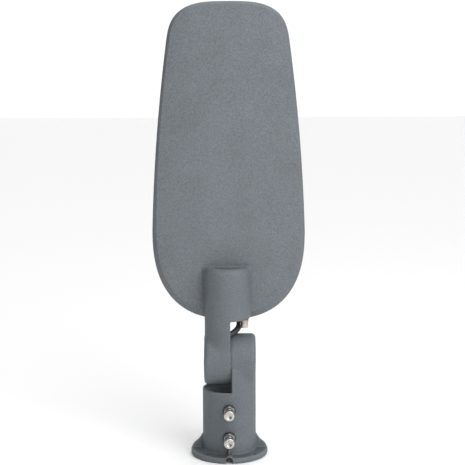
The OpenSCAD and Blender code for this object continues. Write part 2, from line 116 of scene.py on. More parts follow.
def aimed(shape, origin, direction):
    """Turns a shape built along +Z to a direction and moves it to its origin."""
    turn = Vector(direction).to_track_quat("Z", "Y").to_matrix()
    verts, faces = shape
    return [turn @ Vector(v) + Vector(origin) for v in verts], faces


def merged(shapes):
    """Several shapes as one list of vertices and one of faces."""
    verts = []
    faces = []
    for shape_verts, shape_faces in shapes:
        base = len(verts)
        verts += shape_verts
        faces += [tuple(base + i for i in f) for f in shape_faces]
    return verts, faces


def freeze(piece):
    """Makes the result of the piece's modifiers its own mesh."""
    bpy.context.view_layer.update()
    graph = bpy.context.evaluated_depsgraph_get()
    mesh = bpy.data.meshes.new_from_object(piece.evaluated_get(graph))
    old = piece.data
    piece.modifiers.clear()
    piece.data = mesh
    bpy.data.meshes.remove(old)
    return piece


def shade(piece, angle=38):
    """Smooth shading that stays sharp at edges steeper than the angle, in degrees."""
    edit = bmesh.new()
    edit.from_mesh(piece.data)
    bmesh.ops.recalc_face_normals(edit, faces=edit.faces)
    for face in edit.faces:
        face.smooth = True
    for edge in edit.edges:
        edge.smooth = len(edge.link_faces) < 2 or edge.calc_face_angle(0) < radians(angle)
    edit.to_mesh(piece.data)
    edit.free()
    return piece


def modify(piece, kind, **settings):
    """Adds a modifier with its settings to a piece."""
    made = piece.modifiers.new(kind.lower(), kind)
    for name, value in settings.items():
        setattr(made, name, value)


def shape_of(piece):
    """Takes a piece out of the scene and returns its vertices and faces."""
    shape = ([v.co.copy() for v in piece.data.vertices], [tuple(f.vertices) for f in piece.data.polygons])
    bpy.data.objects.remove(piece)
    return shape


def combine(piece, steps, solver="EXACT"):
    """Joins closed shapes to a piece or cuts them away, in the order of the (JOIN or CUT, shape) steps."""
    for how, shape in steps:
        tool = shade(add_piece("tool", *shape))
        modify(piece, "BOOLEAN", operation=how, solver=solver, object=tool)
        freeze(piece)
        bpy.data.objects.remove(tool)


def carved(shape, *steps):
    """A closed shape with others joined to it or cut away."""
    piece = shade(add_piece("carved", *shape))
    combine(piece, steps)
    return shape_of(piece)


def casting(shape, voxel, share, soft_zone, *crisp):
    """A shape with every edge softened by a remesh. soft_zone gives, for a point, how far the surface
    there is blended into a broad fillet. The crisp steps come last and keep their edges. share is how
    much of the faces stays."""
    piece = shade(add_piece("casting", *shape))
    modify(piece, "REMESH", mode="VOXEL", voxel_size=voxel)
    freeze(piece)
    group = piece.vertex_groups.new(name="soft")
    for v in piece.data.vertices:
        softness = soft_zone(v.co)
        if softness > 0:
            group.add([v.index], softness, "REPLACE")
    modify(piece, "SMOOTH", factor=0.5, iterations=220, vertex_group="soft")
    modify(piece, "SMOOTH", factor=0.5, iterations=3)
    freeze(piece)
    combine(piece, crisp, "MANIFOLD")
    modify(piece, "DECIMATE", ratio=share)
    return shape_of(freeze(piece))


def rod(origin, direction, radius, length, sides=64, edge=0.0):
    """A cylinder from its origin along a direction. edge rounds its far rim."""
    end = arc((length - edge, radius - edge), edge, 0, 90) if edge else [(length, radius)]
    return aimed(turned([(0, radius)] + end, sides), origin, direction)


def block(low, high):
    """A box between two corners."""
    xs, ys, zs = zip(low, high)
    rings = [[Vector((xs[i], ys[j], z)) for i, j in ((0, 0), (1, 0), (1, 1), (0, 1))] for z in zs]
    return skin(rings)


def centre_of(node):
    """Centre of a CAD node's box."""
    low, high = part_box(node)
    return (low + high) / 2


def islands(node):
    """Low corner, high corner and centre of each separate solid in a CAD node."""
    edit = bmesh.new()
    edit.from_mesh(frame["nodes"][node].data)
    bmesh.ops.remove_doubles(edit, verts=edit.verts, dist=1e-6)
    left = set(edit.verts)
    found = []
    while left:
        queue = [left.pop()]
        solid = list(queue)
        while queue:
            for edge in queue.pop().link_edges:
                for v in edge.verts:
                    if v in left:
                        left.remove(v)
                        queue.append(v)
                        solid.append(v)
        low = Vector([min(v.co[i] for v in solid) for i in range(3)])
        high = Vector([max(v.co[i] for v in solid) for i in range(3)])
        found.append((low, high, (low + high) / 2))
    edit.free()
    return sorted(found, key=lambda b: tuple(round(c, 5) for c in b[0]))


def spaced(outline, count):
    """The same closed outline with its points evenly spaced along it."""
    lengths = [0.0]
    for i, p in enumerate(outline):
        lengths.append(lengths[-1] + dist(p, outline[(i + 1) % len(outline)]))
    made = []
    i = 0
    for k in range(count):
        want = lengths[-1] * k / count
        while lengths[i + 1] < want:
            i += 1
        t = (want - lengths[i]) / max(1e-12, lengths[i + 1] - lengths[i])
        p, q = outline[i], outline[(i + 1) % len(outline)]
        made.append((p[0] + (q[0] - p[0]) * t, p[1] + (q[1] - p[1]) * t))
    return made


def inset_outline(outline, inset):
    """An outline moved inwards. inset is a length or a function of the height."""
    made = []
    for i, (x, z) in enumerate(outline):
        before = outline[i - 1]
        after = outline[(i + 1) % len(outline)]
        dx, dz = after[0] - before[0], after[1] - before[1]
        size = hypot(dx, dz)
        move = inset(z) if callable(inset) else inset
        made.append((x + dz / size * move, z - dx / size * move))
    return made


def clipped(outline, z0, keep_above):
    """The part of an outline above or below a level, closed by a straight line."""
    sign = 1 if keep_above else -1
    made = []
    for i, p in enumerate(outline):
        q = outline[(i + 1) % len(outline)]
        inside_p, inside_q = sign * (p[1] - z0) >= 0, sign * (q[1] - z0) >= 0
        if inside_p:
            made.append(p)
        if inside_p != inside_q:
            t = (z0 - p[1]) / (q[1] - p[1])
            made.append((p[0] + (q[0] - p[0]) * t, z0))
    return made


def rounded(outline, radius, sharp=40):
    """The outline with its corners sharper than an angle, in degrees, turned into arcs."""
    clean = [p for i, p in enumerate(outline) if dist(p, outline[i - 1]) > 1e-7]
    corners = {}
    for i, p in enumerate(clean):
        a, b = clean[i - 1], clean[(i + 1) % len(clean)]
        u = Vector((p[0] - a[0], p[1] - a[1])).normalized()
        v = Vector((b[0] - p[0], b[1] - p[1])).normalized()
        turn = u.angle(v)
        if turn > radians(sharp):
            corners[i] = (u, v, radius * tan(turn / 2))
    made = []
    for i, p in enumerate(clean):
        if i in corners:
            u, v, back = corners[i]
            corner = Vector(p)
            for k in range(9):
                t = k / 8
                q = corner - (1 - t) ** 2 * back * u + t * t * back * v
                made.append((q.x, q.y))
        elif all(dist(p, clean[j]) > corners[j][2] for j in corners):
            made.append(p)
    return made


def standing(outline, y):
    """An (x, z) outline as points at a depth."""
    return [Vector((x, y, z)) for x, z in outline]


def plate(outline, low_y, high_y, edge=0.0):
    """A flat plate in an outline. edge rounds its far edge."""
    rings = [standing(outline, low_y)]
    if edge:
        for y, r in arc((high_y - edge, 0), edge, 0, 90, 4):
            rings.append(standing(inset_outline(outline, edge - r), y))
    else:
        rings.append(standing(outline, high_y))
    return skin(rings)


def add_part(name, shape, material, node, angle=30):
    """A piece that stands for a CAD node: it takes the node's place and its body."""
    piece = shade(add_piece(name, *shape), angle)
    piece.data.materials.append(material)
    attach(piece, body_of[node])
    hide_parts(node)


# ------------------------------------------------------------------- materials

def start_material(name, color, roughness, metallic=0.0):
    """A node material with its Principled shader set to plain values."""
    made = bpy.data.materials.new(name)
    made.use_nodes = True
    tree = made.node_tree
    shader = tree.nodes["Principled BSDF"]
    shader.inputs["Base Color"].default_value = (*color, 1)
    shader.inputs["Roughness"].default_value = roughness
    shader.inputs["Metallic"].default_value = metallic
    return made, tree, shader


def fill(tree, socket, value):
    """Links a socket to another one, or sets it to a number, a vector or a colour."""
    if isinstance(value, bpy.types.NodeSocket):
        tree.links.new(value, socket)
    elif isinstance(value, (int, float)):
        socket.default_value = value
    else:
        socket.default_value = (*value, 1)[:len(socket.default_value)]


def add_node(tree, kind, inputs=(), **settings):
    """A shader node with its settings, and its inputs filled by name or number."""
    made = tree.nodes.new("ShaderNode" + kind)
    for name, value in settings.items():
        setattr(made, name, value)
    for key, value in dict(inputs).items():
        fill(tree, made.inputs[key], value)
    return made


def noise(tree, size, detail):
    """A noise value over the object, with features of about the given size in metres."""
    place = add_node(tree, "TexCoord").outputs["Object"]
    return add_node(tree, "TexNoise", {"Vector": place, "Scale": 1 / size, "Detail": detail}).outputs["Fac"]


def spread(tree, value, low, high, to_low, to_high):
    """Maps a value from one range to another, held at the ends."""
    return add_node(tree, "MapRange", enumerate((value, low, high, to_low, to_high))).outputs["Result"]


def joined(tree, how, *values):
    """Values put together one after another by a math operation such as ADD or MULTIPLY."""
    total = values[0]
    for value in values[1:]:
        total = add_node(tree, "Math", {0: total, 1: value}, operation=how).outputs[0]
    return total


def mixed(tree, share, first, second, how="MIX"):
    """A colour between two colours or colour sockets."""
    return add_node(tree, "Mix", {0: share, 6: first, 7: second}, data_type="RGBA", blend_type=how).outputs[2]


def patches(tree, size, detail, low, high, to_low, to_high):
    """Noise of a size and detail, with its values from low to high spread over a new range."""
    return spread(tree, noise(tree, size, detail), low, high, to_low, to_high)


def dress(shader, color, rough, depth, *grains):
    """Links a shader's colour and roughness, and its bump from noise of (size, share) grains."""
    tree = shader.id_data
    height = joined(tree, "ADD", *[joined(tree, "MULTIPLY", noise(tree, size, 2.0), share)
                                   for size, share in grains])
    bump = add_node(tree, "Bump", {"Strength": 1.0, "Distance": depth, "Height": height})
    for name, value in (("Base Color", color), ("Roughness", rough), ("Normal", bump.outputs["Normal"])):
        fill(tree, shader.inputs[name], value)


def powder_coat(name, base, grain, depth, adjust=None):
    """Sand-textured powder coat on a casting. grain is the size of its speckle in metres.
    adjust takes the tree and the coat's colour, and returns the colour to use."""
    made, tree, shader = start_material(name, base, 0.6)
    shader.inputs["Specular IOR Level"].default_value = 0.42
    speckle = patches(tree, grain, 2.0, 0.32, 0.68, 0, 1)
    grainy = mixed(tree, speckle, [c * 0.80 for c in base], [c * 1.22 for c in base])
    cloudy = mixed(tree, 1.0, grainy, patches(tree, 0.05, 2.0, 0.3, 0.7, 0.94, 1.06), "MULTIPLY")
    # Convex edges painted lighter: partly rubbed coat, partly a painted highlight along the rounded edges.
    edges = add_node(tree, "NewGeometry").outputs["Pointiness"]
    coat = mixed(tree, spread(tree, edges, 0.51, 0.60, 0, 0.30), cloudy, [c * 1.7 for c in base])
    dress(shader, adjust(tree, coat) if adjust else coat,
          patches(tree, grain * 1.7, 2.0, 0.3, 0.7, 0.52, 0.72),
          depth, (grain * 0.45, 0.5), (grain * 1.1, 0.8))
    return made


def metal(name, color, rough_low, rough_high, mark):
    """Machined or plated metal with fine marks of the given size."""
    made, tree, shader = start_material(name, color, rough_low, 1.0)
    stain = patches(tree, mark * 10, 4.0, 0.45, 0.75, 0, 0.35)
    dress(shader, mixed(tree, stain, color, [c * 0.62 for c in color]),
          patches(tree, mark * 6, 3.0, 0.3, 0.7, rough_low, rough_high), 0.00004, (mark, 1.0))
    return made


def plastic(name, color, roughness, grain=0.0008, depth=0.00003, vary=0.10):
    """Moulded plastic or rubber with a faint grain and handling marks."""
    made, tree, shader = start_material(name, color, roughness)
    low = [c * (1 - vary) for c in color]
    high = [min(1, c * (1 + vary) + 0.004) for c in color]
    dress(shader, mixed(tree, patches(tree, 0.012, 3.0, 0.3, 0.7, 0, 1), low, high),
          patches(tree, 0.004, 3.0, 0.3, 0.7, roughness - 0.07, roughness + 0.09), depth, (grain, 1.0))
    return made


def clear(name, tint, roughness, ior, size):
    """Clear moulded plastic or glass with faint smears."""
    made, tree, shader = start_material(name, tint, roughness)
    shader.inputs["Transmission Weight"].default_value = 1.0
    shader.inputs["IOR"].default_value = ior
    smear = patches(tree, size * 2, 3.0, 0.4, 0.8, 0, 0.3)
    dress(shader, mixed(tree, smear, tint, [c * 0.94 for c in tint]),
          patches(tree, size, 4.0, 0.35, 0.75, roughness, roughness + 0.10), 0.00001, (size * 0.4, 1.0))
    return made


def striped_core():
    """Green insulation with a yellow stripe that winds round it."""
    made, tree, shader = start_material("green_yellow_core", (0.05, 0.30, 0.06), 0.42)
    place = add_node(tree, "TexCoord").outputs["Object"]
    wave = add_node(tree, "TexWave", {"Vector": place, "Scale": 90, "Distortion": 0.6}, bands_direction="X")
    stripe = spread(tree, wave.outputs["Fac"], 0.45, 0.55, 0, 1)
    dress(shader, mixed(tree, stripe, (0.035, 0.250, 0.050), (0.720, 0.600, 0.030)),
          patches(tree, 0.004, 3.0, 0.3, 0.7, 0.34, 0.5), 0.00003, (0.0006, 1.0))
    return made


def painted_foot_shade_and_bare_bore(tree, coat):
    """Painted shade on the flange's top round the tube's foot, and bare cast metal inside the bore."""
    place = add_node(tree, "TexCoord").outputs["Object"]
    height = add_node(tree, "SeparateXYZ", {0: place}).outputs["Z"]
    flat = add_node(tree, "VectorMath", {0: place, 1: (1, 1, 0)}, operation="MULTIPLY").outputs["Vector"]
    radius = add_node(tree, "VectorMath", {0: flat}, operation="LENGTH").outputs["Value"]
    normal = add_node(tree, "NewGeometry").outputs["Normal"]
    upward = add_node(tree, "SeparateXYZ", {0: normal}).outputs["Z"]
    # Painted shade: upward faces of the flange's top near the tube's foot are darkened, with a mottled strength.
    foot_shade_mask = joined(tree, "MULTIPLY", spread(tree, upward, 0.5, 0.9, 0, 1),
                   spread(tree, height, 0.010, 0.016, 1, 0), spread(tree, radius, 0.0450, 0.0470, 1, 0),
                   patches(tree, 0.006, 3.0, 0.3, 0.7, 0.45, 0.65))
    # The near-black colour that the painted shade mixes into the coat.
    shaded_coat = mixed(tree, foot_shade_mask, coat, (0.030, 0.034, 0.038))
    bare = joined(tree, "MULTIPLY", spread(tree, radius, 0.0306, 0.0312, 1, 0),
                  spread(tree, height, 0.080, 0.088, 1, 0), patches(tree, 0.004, 3.0, 0.3, 0.7, 0.8, 1))
    return mixed(tree, bare, shaded_coat, (0.60, 0.63, 0.68))


bracket_grey = (0.120, 0.137, 0.151)
head_coat = powder_coat("head_powder_coat", (0.130, 0.145, 0.160), 0.0015, 0.00045)
bracket_coat = powder_coat("bracket_powder_coat", bracket_grey, 0.0010, 0.00020)
# This coat carries painted shade on the flange's top round the tube's foot.
socket_coat = powder_coat("socket_powder_coat", bracket_grey, 0.0010, 0.00020, painted_foot_shade_and_bare_bore)
stainless = metal("stainless_steel", (0.56, 0.54, 0.51), 0.20, 0.38, 0.0006)
black_zinc = metal("blackened_zinc", (0.07, 0.07, 0.075), 0.40, 0.60, 0.0007)
dark_zinc = metal("dulled_zinc", (0.30, 0.30, 0.31), 0.34, 0.55, 0.0007)
stained_zinc = metal("stained_zinc", (0.52, 0.44, 0.34), 0.30, 0.50, 0.0006)
rubber = plastic("black_rubber", (0.022, 0.023, 0.027), 0.46)
tin = metal("tinned_copper", (0.80, 0.79, 0.76), 0.28, 0.46, 0.0004)
brass = metal("brass", (0.72, 0.52, 0.22), 0.24, 0.42, 0.0006)
brown_core = plastic("brown_core", (0.115, 0.045, 0.020), 0.42, 0.0006)
blue_core = plastic("blue_core", (0.020, 0.095, 0.330), 0.42, 0.0006)
red_wire = plastic("red_wire", (0.420, 0.020, 0.016), 0.40, 0.0006)
black_wire = plastic("black_wire", (0.020, 0.020, 0.022), 0.40, 0.0006)
black_plastic = plastic("black_plastic", (0.028, 0.028, 0.030), 0.50, 0.0011, 0.00006)
ivory_plastic = plastic("ivory_plastic", (0.760, 0.730, 0.620), 0.38, 0.0010)
white_case = plastic("white_driver_case", (0.700, 0.705, 0.700), 0.36, 0.0014, 0.00005)
white_mask = plastic("white_solder_mask", (0.780, 0.790, 0.770), 0.30, 0.0020, 0.00003, 0.04)
ceramic = plastic("white_ceramic", (0.820, 0.810, 0.780), 0.35, 0.0004, 0.00001, 0.03)
phosphor = plastic("yellow_phosphor", (0.830, 0.600, 0.110), 0.42, 0.0003, 0.00002)
earth_core = striped_core()
clear_optic = clear("clear_lens_plastic", (0.97, 0.98, 0.98), 0.04, 1.49, 0.004)
clear_glass = clear("clear_pane_glass", (0.96, 0.985, 0.975), 0.02, 1.50, 0.020)


# ------------------------------------------------------------- camera and floor

def turned_to(thing, place, target):
    """Links a camera or light to the scene at a place, looking at a target."""
    bpy.context.scene.collection.objects.link(thing)
    thing.location = place
    thing.rotation_mode = "QUATERNION"
    thing.rotation_quaternion = (Vector(target) - thing.location).to_track_quat("-Z", "Y")
    return thing


def add_camera():
    """The view of the flat back, from a little above the head's middle and slightly rolled."""
    data = bpy.data.cameras.new("camera")
    data.lens = 93.3
    data.sensor_width = 36
    camera = turned_to(bpy.data.objects.new("camera", data), (0.0049, -1.487, 0.478), (0.0049, 0, 0.2824))
    camera.rotation_quaternion = camera.rotation_quaternion @ Quaternion((0, 0, 1), radians(-0.22))
    bpy.context.scene.camera = camera


def add_key_light():
    """A large soft light from the upper right."""
    data = bpy.data.lights.new("key", "AREA")
    data.size = 1.2
    data.energy = 15
    turned_to(bpy.data.objects.new("key", data), (0.85, -1.05, 1.10), (0, 0, 0.3))


def add_floor():
    """A broad pale floor."""
    half = 12.0
    corners = [(-half, -half, 0), (half, -half, 0), (half, half, 0), (-half, half, 0)]
    floor = add_piece("studio_floor", corners, [(0, 1, 2, 3)])
    floor.data.materials.append(start_material("pale_floor", (0.9, 0.9, 0.9), 0.7)[0])


def add_surroundings():
    """White surroundings, brightest above and behind, and darker to the left and the far right."""
    world = bpy.data.worlds.new("white_studio")
    world.use_nodes = True
    tree = world.node_tree
    place = add_node(tree, "TexCoord").outputs["Generated"]
    x, y, z = add_node(tree, "SeparateXYZ", {0: place}).outputs
    left = spread(tree, x, -0.40, 0.40, 0.05, 1)
    right = spread(tree, x, 0.45, 0.95, 1, 0.20)
    front = spread(tree, y, -0.95, -0.10, 1.2, 0.5)
    around = joined(tree, "MAXIMUM", joined(tree, "MULTIPLY", left, right, front),
                    spread(tree, y, 0.55, 0.85, 0, 1))
    glow = joined(tree, "ADD", around, spread(tree, z, 0.55, 0.95, 0, 1.5))
    back = tree.nodes["Background"]
    back.inputs["Color"].default_value = (1, 1, 1, 1)
    fill(tree, back.inputs["Strength"], spread(tree, glow, 0, 2, 0, 2.1))
    bpy.context.scene.world = world
    bpy.context.scene.view_settings.view_transform = "Standard"
    bpy.context.scene.view_settings.look = "None"


add_camera()
add_floor()
add_surroundings()
add_key_light()


# ----------------------------------------------------------------- supply lead

def smooth_route(points, per):
    """A smooth curve through the points, with the given number of steps in each span."""
    last = len(points) - 1
    curve = []
    for i in range(last):
        a, b, c, d = (points[max(0, min(last, j))] for j in (i - 1, i, i + 1, i + 2))
        for k in range(per):
            t = k / per
            curve.append(0.5 * (2 * b + (c - a) * t + (2 * a - 5 * b + 4 * c - d) * t * t
                                + (3 * b - a - 3 * c + d) * t * t * t))
    return curve + [points[last]]


def swept(points, radius, sides):
    """A round tube along the points."""
    side = None
    rings = []
    for i, p in enumerate(points):
        ahead = (points[min(len(points) - 1, i + 1)] - points[max(0, i - 1)]).normalized()
        if side is None:
            side = ahead.cross(X_AXIS).normalized()
        side = (side - ahead * side.dot(ahead)).normalized()
        other = ahead.cross(side)
        rings.append([p + radius * (cos(2 * pi * k / sides) * side + sin(2 * pi * k / sides) * other)
                      for k in range(sides)])
    return skin(rings)


lead_route = [Vector(p) * MM for p in [
    (12.2, -1.2, 177.5), (12.2, -1.2, 175), (12.6, -1.3, 172), (13, -1.9, 168.9),
    (12.8, -3.1, 165.8), (11.6, -5.1, 162.8), (9.2, -7.9, 160.1), (5.9, -10.9, 157.9),
    (2.1, -13.6, 156), (-2.3, -15.6, 154.8), (-6.8, -16.2, 154.4), (-11.1, -15, 155),
    (-14.6, -12.2, 155.9), (-16.8, -8.1, 157), (-17.7, -2.8, 157.9), (-17.8, 4, 158.1),
    (-17.5, 12, 156.9), (-17, 21, 153.2), (-16.5, 29, 147.2), (-16, 35.6, 138),
    (-15.4, 39.8, 126), (-14, 41, 110), (-11, 41, 91), (-7, 41.6, 71), (-3, 44.5, 52),
    (0, 51, 34), (1.2, 62, 18.6), (1.2, 77, 8), (0, 96, 4), (-1.5, 123, 3.9), (0, 135, 3.9),
]]
lead_curve = smooth_route(lead_route, 8)
lead_radius = 3.6 * MM
# The lead runs between the knuckle and the back of the socket and bends there when the head tilts; here it is
# swept once along its route.
lead = shade(add_piece("supply_lead_sheath", *swept(lead_curve, lead_radius, 28)))
lead.data.materials.append(rubber)
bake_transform(lead)
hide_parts("supply_lead")


# --------------------------------------------------------------- the two castings

TOOTH_COUNT = 28
TOOTH_DEPTH = 1.6 * MM
TOOTH_ROOT = 0.4 * MM
tilt_z = joints["head_tilt"]["pos_m"][2]
flange_low, flange_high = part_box("lower_bracket")
flange_r = -flange_low.x
disc_r = flange_high.z - tilt_z
socket_r = mounts["pole_socket"]["dims"]["r_mm"] * MM
socket_top = mounts["pole_socket"]["dims"]["length_mm"] * MM
tube_r = socket_r + 3 * MM
right_face = 3.3 * MM
left_face = 1.9 * MM
bolt_bore = 5.05 * MM
flange_thick = 7 * MM
tunnel_z = 4.4 * MM
duct_x, duct_z, duct_r = 12.2 * MM, 201 * MM, 4.6 * MM
lead_out = Vector(lead_route[0])


def at(x, y, z):
    """A point given in millimetres."""
    return Vector((x, y, z)) * MM


def ramp(value, start, width):
    """From 0 at start to 1 at start + width, smoothly."""
    t = max(0.0, min(1.0, (value - start) / width))
    return t * t * (3 - 2 * t)


def axle(x, direction, radius, length, sides, edge=0.0):
    """A cylinder on the tilt axis."""
    return rod(Vector((x, 0, tilt_z)), direction, radius, length, sides, edge)


def toothed_ring(face, towards, phase):
    """The radial serrations of a knuckle disc: face is its plane, towards +1 or -1 along X."""
    inner, outer, base = 19.5 * MM, 31.7 * MM, -1.4 * MM
    per_tooth = 8
    steps = TOOTH_COUNT * per_tooth
    rings = [[], [], [], []]
    for k in range(steps):
        share = (k / per_tooth + phase) % 1
        rise = TOOTH_DEPTH * (1 - abs(2 * share - 1)) - TOOTH_ROOT
        a = 2 * pi * k / steps
        for ring, radius, x in zip(rings, (inner, outer, outer, inner), (base, base, rise, rise)):
            ring.append(Vector((face + towards * x, radius * cos(a), tilt_z + radius * sin(a))))
    return skin(rings, closed=True)


def prism(outline, origin, across, up, depth_axis, half_depth):
    """A flat outline of (across, up) points in millimetres, thickened both ways along an axis."""
    return skin([[origin + (across * a + up * u) * MM + depth_axis * (side * half_depth) for a, u in outline]
                 for side in (-1, 1)])


def socket_body():
    """Flange, ribs, tube and plain disc of the lower bracket, with the bores cut."""
    rim, foot, round_r = 1.3 * MM, 1.2 * MM, 2.4 * MM
    top = tilt_z - 6 * MM
    body = turned(
        arc((round_r, flange_r - round_r), round_r, -90, 0)
        + arc((flange_thick - rim, flange_r - rim), rim, 0, 90)
        + arc((flange_thick + foot, tube_r + foot), foot, 270, 180)
        + [(top * t / 20, tube_r) for t in range(3, 21)],
        128,
    )
    disc = axle(right_face + TOOTH_ROOT, X_AXIS, disc_r, 30 * MM - TOOTH_ROOT, 96, 5.5 * MM)
    rib = [(32, 2), (47.2, 2), (47.2, 8.2), (46.6, 10.2), (45.2, 12.6), (43, 14.9), (40.3, 17), (38, 19.4),
           (36.2, 21.9), (34.6, 24.8), (33, 25.5), (32, 25.5)]
    ribs = []
    for turn in range(3):
        out = Vector((cos(turn * pi / 2), sin(turn * pi / 2), 0))
        ribs.append((JOIN, prism(rib, Vector(), out, Z_AXIS, out.cross(Z_AXIS), 1.7 * MM)))
    return carved(body, (JOIN, disc), *ribs,
                  (CUT, block(at(-60, -60, socket_top / MM), Vector((right_face, 60 * MM, 200 * MM)))),
                  (CUT, rod(at(0, 0, -1), Z_AXIS, socket_r, 89 * MM, 128)),
                  (CUT, axle(0, X_AXIS, bolt_bore, 40 * MM, 40)),
                  (CUT, axle(21 * MM, X_AXIS, 9.2 * MM, 20 * MM, 48)))


def add_socket_casting():
    """The lower bracket: the soft body with its teeth, front rib, screw pads, lead tunnel and holes."""
    front_rib = [(32, 3), (46.6, 3), (46.6, 8.2), (44.6, 9.6), (41.5, 11.8), (38.9, 14), (36.4, 16.6),
                 (34.6, 19), (33.4, 19.6), (32, 19.6)]
    details = [toothed_ring(right_face, -1, 0.5),
               prism(front_rib, Vector(), -Y_AXIS, Z_AXIS, X_AXIS, 1.1 * MM)]
    tunnel = rod(Vector((0, -31.6 * MM, tunnel_z)), -Y_AXIS, 5.4 * MM, flange_r - 31.2 * MM, 56, 0.5 * MM)
    holes = [rod(Vector((0, -60 * MM, tunnel_z)), Y_AXIS, 4.3 * MM, 31 * MM, 48)]
    for node in ("clamp_screw_lower", "clamp_screw_upper"):
        z = centre_of(node).z
        details.append(rod(Vector((0, -31.5 * MM, z)), -Y_AXIS, 8.2 * MM, 2.9 * MM, 72, 0.4 * MM))
        holes.append(rod(Vector((0, -40 * MM, z)), Y_AXIS, 4.05 * MM, 15 * MM, 32))
    pattern = mounts["flange_holes"]["dims"]
    circle_r = pattern["pcd_mm"] / 2 * MM
    for k in range(pattern["count"]):
        a = pi / 4 + k * pi / 2
        holes.append(rod(Vector((circle_r * cos(a), circle_r * sin(a), -MM)), Z_AXIS,
                         pattern["hole_r_mm"] * MM, 12 * MM, 48))

    def soft_zone(p):
        return (ramp(p.x, right_face + 2 * MM, 5 * MM) * ramp(p.z, 86 * MM, 6 * MM)
                * ramp(-p.z, -126 * MM, 6 * MM) * ramp(abs(p.y), 5 * MM, 6 * MM))

    shape = casting(socket_body(), 0.8 * MM, 0.45, soft_zone,
                    (JOIN, merged(details)), (JOIN, tunnel), (CUT, merged(holes)),
                    (CUT, block(at(-4.3, -60, -1), Vector((4.3 * MM, -29 * MM, tunnel_z)))),
                    (CUT, block(at(-60, -60, -12), at(60, 60, 0))))
    add_part("socket_casting", shape, socket_coat, "lower_bracket", 50)


def add_arm_casting():
    """The upper bracket: left knuckle disc, arm and the round boss on the head's back."""
    low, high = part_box("upper_bracket")
    boss_x, boss_r, boss_low, back = -1.8 * MM, 28.7 * MM, 174 * MM, 4.2 * MM
    top = high.z - 2.8 * MM
    edge, low_edge = 7 * MM, 2.6 * MM

    def upright(levels):
        return aimed(turned(levels, 128), (boss_x, 0, 0), Z_AXIS)

    def column(low, high, radius):
        return upright([(low + (high - low) * k / 12, radius) for k in range(13)])

    arm = carved(column(tilt_z, boss_low + 3 * MM, boss_r),
                 (CUT, column(149 * MM, boss_low, 24.5 * MM)),
                 (CUT, block(Vector((1.7 * MM, -0.1, 0)), at(60, 60, 400))))
    boss = upright([(boss_low + low_edge + h, r) for h, r in arc((0, boss_r - low_edge), low_edge, -90, 0)]
                   + [(boss_low + k * 9.5 * MM, boss_r) for k in range(1, 7)]
                   + arc((top - edge, boss_r - edge), edge, 0, 90, 10))
    lip_half, lip_low, lip_high = 30.4 * MM, 177 * MM, top + 1.2 * MM
    lip = rounded([(boss_x - lip_half, lip_low), (boss_x - lip_half, lip_high),
                   (boss_x + lip_half, lip_high), (boss_x + lip_half, lip_low)], 4 * MM)
    upper = carved(boss, (JOIN, arm), (JOIN, plate(lip, 2.2 * MM, back + 2 * MM)),
                   (CUT, block(Vector((-0.1, back, 140 * MM)), at(60, 60, 400))))
    disc_face = left_face - TOOTH_ROOT
    disc = axle(disc_face, -X_AXIS, disc_r, disc_face - low.x, 96, 4.5 * MM)
    hub = axle(disc_face - MM, X_AXIS, 18 * MM, 2.7 * MM, 64, 0.3 * MM)
    turns = [radians(196 + 148 * k / 40) for k in range(41)]
    pocket = [(16.5 * cos(a), 16.5 * sin(a) - 4) for a in turns]
    pocket += [(16.3 * cos(a), 2.5 * sin(a) - 4) for a in reversed(turns)]
    bores = [axle(-3 * MM, X_AXIS, bolt_bore, 8 * MM, 40),
             rod(Vector((lead_out.x, lead_out.y, 170 * MM)), Z_AXIS, 5 * MM, 35 * MM, 40),
             rod(at(19, -9.8, 170), Z_AXIS, 3.05 * MM, 18 * MM, 32)]

    def soft_zone(p):
        return (ramp(-p.x, 0.5 * MM, 3 * MM) * ramp(p.z, 126 * MM, 6 * MM)
                * ramp(-p.z, -162 * MM, 8 * MM) * ramp(-p.y, 3 * MM, 6 * MM))

    body = carved(disc, (JOIN, upper), (CUT, axle(-40 * MM, X_AXIS, bolt_bore, 50 * MM, 40)),
                  (CUT, axle(-40 * MM, X_AXIS, 11 * MM, 21.8 * MM, 48)))
    hollow = prism(pocket, Vector((boss_x, 0, top)), X_AXIS, Y_AXIS, Z_AXIS, 8 * MM)
    shape = casting(body, 0.8 * MM, 0.5, soft_zone, (JOIN, merged([toothed_ring(left_face, 1, 0), hub])),
                    (CUT, merged(bores)), (CUT, hollow))
    add_part("arm_casting", shape, bracket_coat, "upper_bracket", 50)


add_socket_casting()
add_arm_casting()


# ----------------------------------------------------------------- head outline

head_low, head_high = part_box("head_housing")
HEAD_HALF = head_high.x
HEAD_BOTTOM = head_low.z
HEAD_TOP = head_high.z
HEAD_WIDE_Z = 282.5 * MM
SHOULDER = 50.8 * MM
BACK_Y = head_low.y
WALL_Y = BACK_Y + 3.5 * MM
RIM_Y = BACK_Y + 20.5 * MM
BULGE_Y = head_high.y
FLOOR_Z = 302 * MM


def half_width(z):
    """Half of the head's width at a height: a superellipse below, a taper with round shoulders above."""
    if z < HEAD_WIDE_Z:
        u = min(1, (HEAD_WIDE_Z - z) / (HEAD_WIDE_Z - HEAD_BOTTOM))
        return HEAD_HALF * max(0, 1 - u ** 2.44) ** (1 / 2.44)
    t = (z - HEAD_WIDE_Z) / (HEAD_TOP - HEAD_WIDE_Z)
    v = max(0, (z - HEAD_TOP + SHOULDER) / SHOULDER)
    return HEAD_HALF * (1 - 0.0907 * t - 0.1891 * t * t) * max(0, 1 - v ** 3.2) ** (1 / 3.2)


def head_outline(count=320):
    """The head's outline from its top, clockwise seen from the back."""
    steps = 900
    right = []
    for i in range(steps + 1):
        z = (HEAD_TOP + HEAD_BOTTOM) / 2 + (HEAD_TOP - HEAD_BOTTOM) / 2 * cos(pi * i / steps)
        right.append((half_width(z), z))
    left = [(-x, z) for x, z in reversed(right[1:-1])]
    return spaced(right + left, count)


